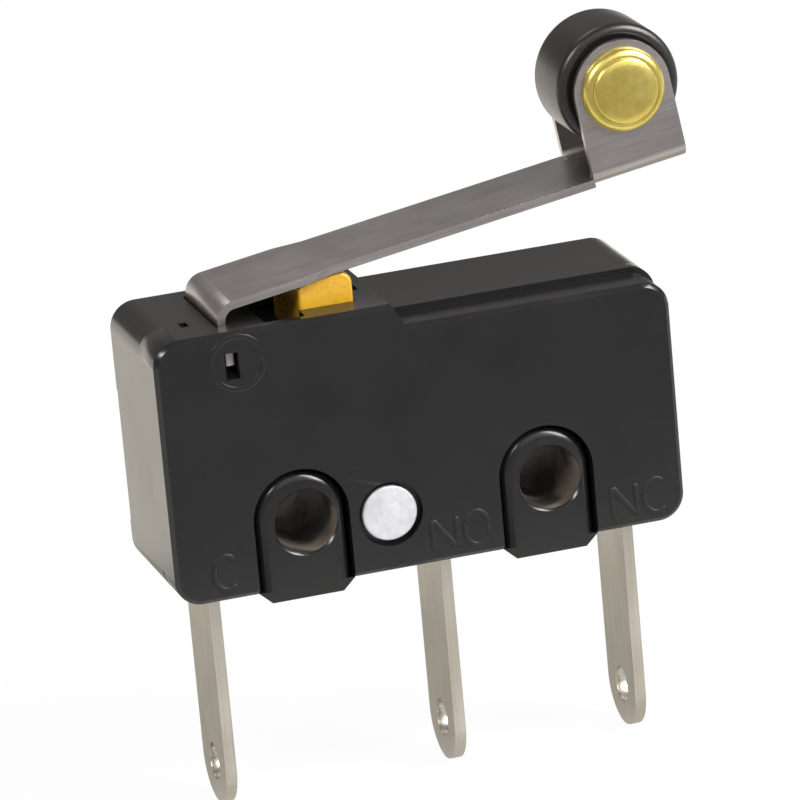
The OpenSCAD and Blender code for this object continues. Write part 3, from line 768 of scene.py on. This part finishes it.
@dataclass
class RollerLever:
    """Lever, pin, roller and plunger."""

    edge: float = 0.06
    roller_edge: float = 0.3
    head_step: float = 1.24
    made: dict[str, bpy.types.Material] = field(default_factory=dict)

    def build(self) -> None:
        """Builds the lever, the pin, the roller and the plunger."""
        lever = softened("lever", self.edge, 2)
        dress(lever, ROLLED_STEEL, self.made)
        plunger = softened("plunger", 0.12, 3)
        dress(plunger, AMBER, self.made)
        self.roller()
        self.pin()
        LOG.info("lever, plunger, pin and roller built")

    def roller(self) -> None:
        """Turns the roller: a plain bore and a tread with rounded edges."""
        low, high = (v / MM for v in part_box("roller"))
        centre = (low + high) / 2
        outer = (high.z - low.z) / 2
        half = (high.y - low.y) / 2
        bore, lead = 0.79, 0.12
        turn = np.linspace(0, np.pi / 2, 9)
        r = self.roller_edge
        corner = np.stack([outer - r + r * np.sin(turn), -half + r - r * np.cos(turn)], axis=1)
        inner = np.array([[bore, -half + lead], [bore + lead, -half]])
        hub_r, dish, slope = 1.25, 0.07, 0.08
        dish_end = outer - r - 0.04
        floor_y = dish - half
        hub = np.array(
            [[hub_r, -half], [hub_r + slope, floor_y], [dish_end - slope, floor_y], [dish_end, -half]]
        )
        one = np.concatenate([inner, hub, corner])
        other = one[::-1] * np.array([1, -1])
        piece = lathe("roller_shown", np.concatenate([one, other]), centre, 160)
        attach(piece, "lever_roller")
        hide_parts("roller")
        black = Turned(
            "roller_plastic", "nylon_turned_black", "#191817", "#211f1e",
            roughness=0.33, ior=1.52, grain_mm=0.08, grain_height_mm=0.002, cloud_mm=2.0,
            centre=tuple(centre), ring_mm=0.16,
        )
        dress(piece, black, self.made)

    def pin(self) -> None:
        """Turns the pin: a headed end with a raised disc, the shank and the closed end."""
        low, high = (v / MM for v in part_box("roller_pin"))
        centre = (low + high) / 2
        head_r = (high.z - low.z) / 2
        y0 = low.y - centre.y
        y1 = high.y - centre.y
        head_t, tail_t, tail_r, shank = 0.45, 0.3, 1.1, 0.74
        disc = self.head_step
        turn = np.linspace(0, np.pi / 2, 8)
        face = np.array([[0.0, y0 + 0.01], [disc * 0.6, y0], [disc - 0.06, y0], [disc, y0 + 0.05]])
        groove = np.array([[disc + 0.01, y0 + 0.11]])
        r = head_r - disc - 0.04
        shoulder = np.stack(
            [disc + 0.03 + (head_r - disc - 0.03) * np.sin(turn), y0 + 0.09 + r - r * np.cos(turn)], axis=1
        )
        body = np.array(
            [[head_r, y0 + head_t], [shank, y0 + head_t], [shank, y1 - tail_t], [tail_r, y1 - tail_t]]
        )
        t2 = np.linspace(0, np.pi / 2, 6)
        tail = np.stack([tail_r - 0.2 + 0.2 * np.cos(t2), y1 - 0.2 + 0.2 * np.sin(t2)], axis=1)
        dimple = np.array([[0.45, y1], [0.35, y1 - 0.1], [0.0, y1 - 0.14]])
        profile = np.concatenate([face, groove, shoulder, body, tail, dimple])
        piece = lathe("roller_pin_shown", profile, centre)
        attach(piece, "roller_lever")
        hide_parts("roller_pin")
        brass = Turned(
            "brass_pin", "brass_headed", "#d6bf5c", "#ecd97e",
            metallic=0.95, roughness=0.3, grain_mm=0.4, grain_height_mm=0.001, cloud_mm=2.0,
            rough_spread=0.03, centre=tuple(centre), ring_mm=0.14,
        )
        dress(piece, brass, self.made)


@dataclass
class Studio:
    """Floor, soft lamps, world and camera."""

    target: Point = (0.0, 0.0, 2.0)
    camera_at: Point = (-63.616, -226.593, 76.010)
    azimuth: float = -15.71
    elevation: float = 17.23
    roll: float = -5.24
    focal_share: float = 6614.4 / 800
    floor_gap: float = 0.02
    glow_share: float = 0.94

    def build(self) -> None:
        """Builds the whole stage."""
        self.floor()
        self.world()
        self.softbox("key_left", (-0.66, -0.5, 0.56), distance=520, wide=260, high=80, strength=20.0)
        self.softbox("key_right", (0.66, -0.5, 0.6), distance=520, wide=300, high=300, strength=17.0)
        self.softbox("fill_front", (0.1, -0.85, 0.5), distance=700, wide=500, high=500, strength=0.8)
        self.softbox("fill_back", (-0.2, 0.6, 0.9), distance=700, wide=300, high=300, strength=2.5)
        self.camera()
        LOG.info("stage set")

    def floor(self) -> None:
        """Lays the floor: white to the eye with the object's shadow kept, and banded to shiny faces.

        Along Y, shiny faces see a dim band in front, a bright one, a low one and a bright one behind.
        """
        low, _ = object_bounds()
        size = 4000.0
        z = low[2] / MM - self.floor_gap
        points = np.array([[-1, -1, 0], [1, -1, 0], [1, 1, 0], [-1, 1, 0]]) * size + np.array([0, 0, z])
        obj = new_object("floor", points, [[0, 1, 2, 3]])
        material = bpy.data.materials.new("floor_paper_white")
        material.use_nodes = True
        tree = material.node_tree
        tree.nodes.clear()
        path = add(tree, "ShaderNodeLightPath").outputs
        place = add(tree, "ShaderNodeTexCoord").outputs["Object"]
        apart = add(tree, "ShaderNodeSeparateXYZ", links={0: place}).outputs["Y"]
        depth = add(
            tree, "ShaderNodeMapRange", {"=From Min": -0.06, "=From Max": 0.06}, {"Value": apart}
        ).outputs["Result"]
        dim, near, low_card, far = (
            (0.37, 0.36, 0.37, 1), (1.05, 1.04, 1.0, 1), (0.55, 0.53, 0.48, 1), (1.35, 1.27, 1.12, 1)
        )
        glow = ramp(
            tree,
            depth,
            [(0.24, dim), (0.28, near), (0.45, near), (0.52, low_card), (0.7, low_card), (0.75, far)],
        )
        seen = add(
            tree,
            "ShaderNodeMath",
            {"operation": "MAXIMUM"},
            {0: path["Is Glossy Ray"], 1: path["Is Transmission Ray"]},
        ).outputs[0]
        colour = add(
            tree,
            "ShaderNodeMix",
            {"data_type": "RGBA", "=6": (1.0, 1.0, 1.0, 1.0)},
            {0: seen, 7: glow},
        ).outputs[2]
        light = add(tree, "ShaderNodeEmission", {"=Strength": 1.0}, {"Color": colour}).outputs[0]
        paper = add(tree, "ShaderNodeBsdfDiffuse", {"=Color": (0.85, 0.85, 0.85, 1.0)}).outputs[0]
        shown = add(
            tree, "ShaderNodeMath", {"operation": "MAXIMUM"}, {0: seen, 1: path["Is Camera Ray"]}
        ).outputs[0]
        share = {"operation": "MULTIPLY", "=1": self.glow_share}
        part = add(tree, "ShaderNodeMath", share, {0: shown}).outputs[0]
        mixed = add(tree, "ShaderNodeMixShader", links={0: part, 1: paper, 2: light}).outputs[0]
        add(tree, "ShaderNodeOutputMaterial", links={"Surface": mixed})
        obj.data.materials.append(material)
        obj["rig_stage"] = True

    def world(self) -> None:
        """Sets the surroundings: white behind the object, dim and even for everything else."""
        world = bpy.data.worlds.new("studio_room")
        bpy.context.scene.world = world
        world.use_nodes = True
        tree = world.node_tree
        tree.nodes.clear()
        path = add(tree, "ShaderNodeLightPath").outputs
        room = (0.26, 0.25, 0.245, 1.0)
        colour = add(
            tree,
            "ShaderNodeMix",
            {"data_type": "RGBA", "=6": room, "=7": (1.0, 1.0, 1.0, 1.0)},
            {0: path["Is Camera Ray"]},
        ).outputs[2]
        back = add(tree, "ShaderNodeBackground", {"=Strength": 1.0}, {"Color": colour}).outputs[0]
        add(tree, "ShaderNodeOutputWorld", links={"Surface": back})

    def softbox(
        self, name: str, toward: Point, distance: float, wide: float, high: float, strength: float
    ) -> None:
        """Hangs one soft lamp that faces the object.

        Args:
            name: the lamp's name.
            toward: direction from the object to the lamp.
            distance: distance in millimetres.
            wide: width of the lamp in millimetres.
            high: height of the lamp in millimetres.
            strength: radiance of the lamp's face, where one is white.
        """
        lamp = bpy.data.lights.new(name, "AREA")
        lamp.shape = "RECTANGLE"
        lamp.size = wide * MM
        lamp.size_y = high * MM
        lamp.energy = strength * math.pi * wide * high * MM**2
        obj = bpy.data.objects.new(name, lamp)
        bpy.context.scene.collection.objects.link(obj)
        way = Vector(toward).normalized()
        obj.location = (Vector(self.target) + way * distance) * MM
        obj.rotation_euler = way.to_track_quat("Z", "Y").to_euler()
        obj.visible_camera = False

    def camera(self) -> None:
        """Sets the camera at the viewing angle, with its roll."""
        az, el, ro = (math.radians(v) for v in (self.azimuth, self.elevation, self.roll))
        right = Vector((math.cos(az), math.sin(az), 0.0))
        back = Vector((math.sin(az) * math.cos(el), -math.cos(az) * math.cos(el), math.sin(el)))
        up = back.cross(right)
        across = math.cos(ro) * right + math.sin(ro) * up
        upward = math.cos(ro) * up - math.sin(ro) * right
        data = bpy.data.cameras.new("camera")
        data.sensor_width = 36.0
        data.lens = 36.0 * self.focal_share
        data.clip_start = 0.01
        data.clip_end = 20.0
        obj = bpy.data.objects.new("camera", data)
        bpy.context.scene.collection.objects.link(obj)
        turn = Matrix((across, upward, back)).transposed().to_4x4()
        obj.matrix_world = Matrix.Translation(Vector(self.camera_at) * MM) @ turn
        bpy.context.scene.camera = obj
        bpy.context.scene.view_settings.view_transform = "Standard"


def main() -> None:
    logging.basicConfig(level=logging.INFO, format="%(message)s")
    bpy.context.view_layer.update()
    made: dict[str, bpy.types.Material] = {}
    Housing(made=made).build()
    Contacts(made=made).build()
    RollerLever(made=made).build()
    Studio().build()


if __name__ == "__main__":
    main()
